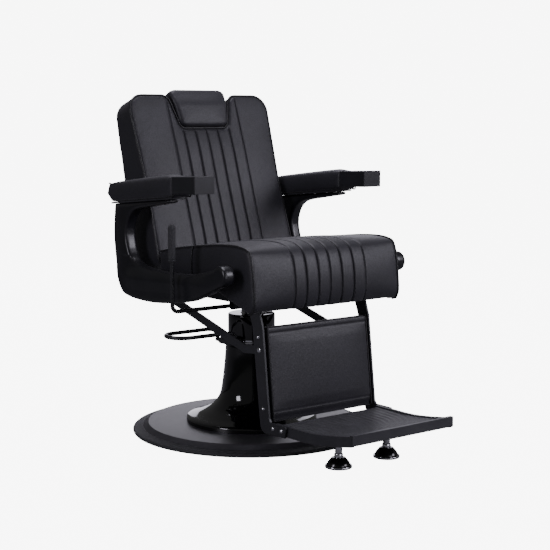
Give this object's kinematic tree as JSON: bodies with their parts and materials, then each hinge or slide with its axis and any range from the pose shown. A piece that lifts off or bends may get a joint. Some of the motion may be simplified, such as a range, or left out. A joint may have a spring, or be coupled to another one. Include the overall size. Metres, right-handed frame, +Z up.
{
  "type": "hydraulic barber chair",
  "caption": "Reclining barber chair with a padded seat, backrest, headrest and arms, a linked footrest, and a hydraulic column on a round base.",
  "frame": {"origin": "on the floor, on the column's axis, at the middle of the base plate's flat underside", "axes": "+Z is up, the sitter faces -Y, and +X is on the sitter's left; the levers are on the sitter's right, at -X"},
  "size_m": [0.705, 1.0074, 0.999],
  "materials": {
    "black_leather": "black upholstery leather with a fine grain, satin",
    "gloss_black_enamel": "gloss black enamel",
    "satin_black_paint": "satin black powder coat",
    "matte_black_paint": "matte black powder coat with a fine texture",
    "black_plastic": "matte black moulded plastic",
    "black_rubber": "matte black rubber",
    "chrome": "polished chrome plate",
    "brushed_steel": "turned bright steel"
  },
  "bodies": {
    "base": {"base_plate": "satin_black_paint", "base_rim_ring": "black_rubber", "column_cover": "gloss_black_enamel", "base_socket": "brushed_steel", "swivel_bearing": "brushed_steel"},
    "pump": {"hydraulic_cylinder": "brushed_steel", "pump_collar": "chrome", "pump_cover": "gloss_black_enamel", "pump_bracket": "gloss_black_enamel"},
    "pump_lever": {"pump_lever": "satin_black_paint"},
    "seat": {"lift_ram": "chrome", "seat_hub": "satin_black_paint", "mechanism_box": "matte_black_paint", "seat_board": "matte_black_paint", "seat_cushion": "black_leather", "arm_frame_right": "satin_black_paint", "arm_frame_left": "satin_black_paint", "arm_pad_right": "black_leather", "arm_pad_left": "black_leather", "arm_cap_right": "black_plastic", "arm_cap_left": "black_plastic", "arm_support_right": "matte_black_paint", "arm_support_left": "matte_black_paint", "arm_bracket_right": "matte_black_paint", "arm_bracket_left": "matte_black_paint", "back_bracket_right": "matte_black_paint", "back_bracket_left": "matte_black_paint", "back_shaft": "brushed_steel", "footrest_bracket_right": "matte_black_paint", "footrest_bracket_left": "matte_black_paint", "footrest_shaft": "brushed_steel", "lever_bearing": "matte_black_paint"},
    "backrest": {"back_cushion": "black_leather", "back_frame": "matte_black_paint", "back_arm_right": "matte_black_paint", "back_arm_left": "matte_black_paint", "link_pin_rear_right": "brushed_steel", "link_pin_rear_left": "brushed_steel"},
    "headrest": {"headrest_cushion": "black_leather", "headrest_bar": "brushed_steel"},
    "footrest": {"footrest_bar_right": "matte_black_paint", "footrest_bar_left": "matte_black_paint", "calf_panel": "black_leather", "footplate": "matte_black_paint", "panel_rivet_upper_right": "chrome", "panel_rivet_upper_left": "chrome", "panel_rivet_lower_right": "chrome", "panel_rivet_lower_left": "chrome", "plate_bolt_rear_right": "chrome", "plate_bolt_rear_left": "chrome", "plate_bolt_front_right": "chrome", "plate_bolt_front_left": "chrome", "link_pivot_right": "chrome", "link_pivot_left": "chrome"},
    "links": {"link_bar_right": "matte_black_paint", "link_bar_left": "matte_black_paint"},
    "recline_lever": {"recline_rod": "matte_black_paint", "recline_grip": "black_rubber"},
    "foot_right": {"levelling_foot_right": "chrome"},
    "foot_left": {"levelling_foot_left": "chrome"}
  },
  "joints": [
    {"name": "swivel", "type": "hinge", "parent": "base", "child": "pump", "pos_m": [0, 0, 0.262], "axis": [0, 0, 1], "continuous": true},
    {"name": "lift", "type": "slide", "parent": "pump", "child": "seat", "axis": [0, 0, 1], "range_m": [0, 0.15]},
    {"name": "recline", "type": "hinge", "parent": "seat", "child": "backrest", "pos_m": [0, 0.206, 0.508], "axis": [-1, 0, 0], "range_deg": [0, 30]},
    {"name": "footrest_swing", "type": "hinge", "parent": "seat", "child": "footrest", "pos_m": [0, -0.262, 0.41], "axis": [-1, 0, 0], "range_deg": [0, 30]},
    {"name": "link_swing", "type": "hinge", "parent": "footrest", "child": "links", "pos_m": [0, -0.29, 0.295], "axis": [-1, 0, 0], "range_deg": [-30, 0]},
    {"name": "headrest_height", "type": "slide", "parent": "backrest", "child": "headrest", "axis": [0, 0.3156, 0.9489], "range_m": [0, 0.08]},
    {"name": "recline_release", "type": "hinge", "parent": "seat", "child": "recline_lever", "pos_m": [-0.2, -0.105, 0.39], "axis": [-1, 0, 0], "range_deg": [0, 20], "stiffness_Nm_per_rad": 3, "springref_deg": -22.92},
    {"name": "pump_stroke", "type": "hinge", "parent": "pump", "child": "pump_lever", "pos_m": [-0.087, 0, 0.267], "axis": [0, -1, 0], "range_deg": [0, 22], "stiffness_Nm_per_rad": 4, "springref_deg": -28.65},
    {"name": "foot_screw_right", "type": "slide", "parent": "footrest", "child": "foot_right", "axis": [0, 0, 1], "range_m": [0, 0.01]},
    {"name": "foot_screw_left", "type": "slide", "parent": "footrest", "child": "foot_left", "axis": [0, 0, 1], "range_m": [0, 0.01]}
  ],
  "couplings": [
    {"joint": "footrest_swing", "follows": "recline", "ratio": 1},
    {"joint": "link_swing", "follows": "recline", "ratio": -1}
  ]
}
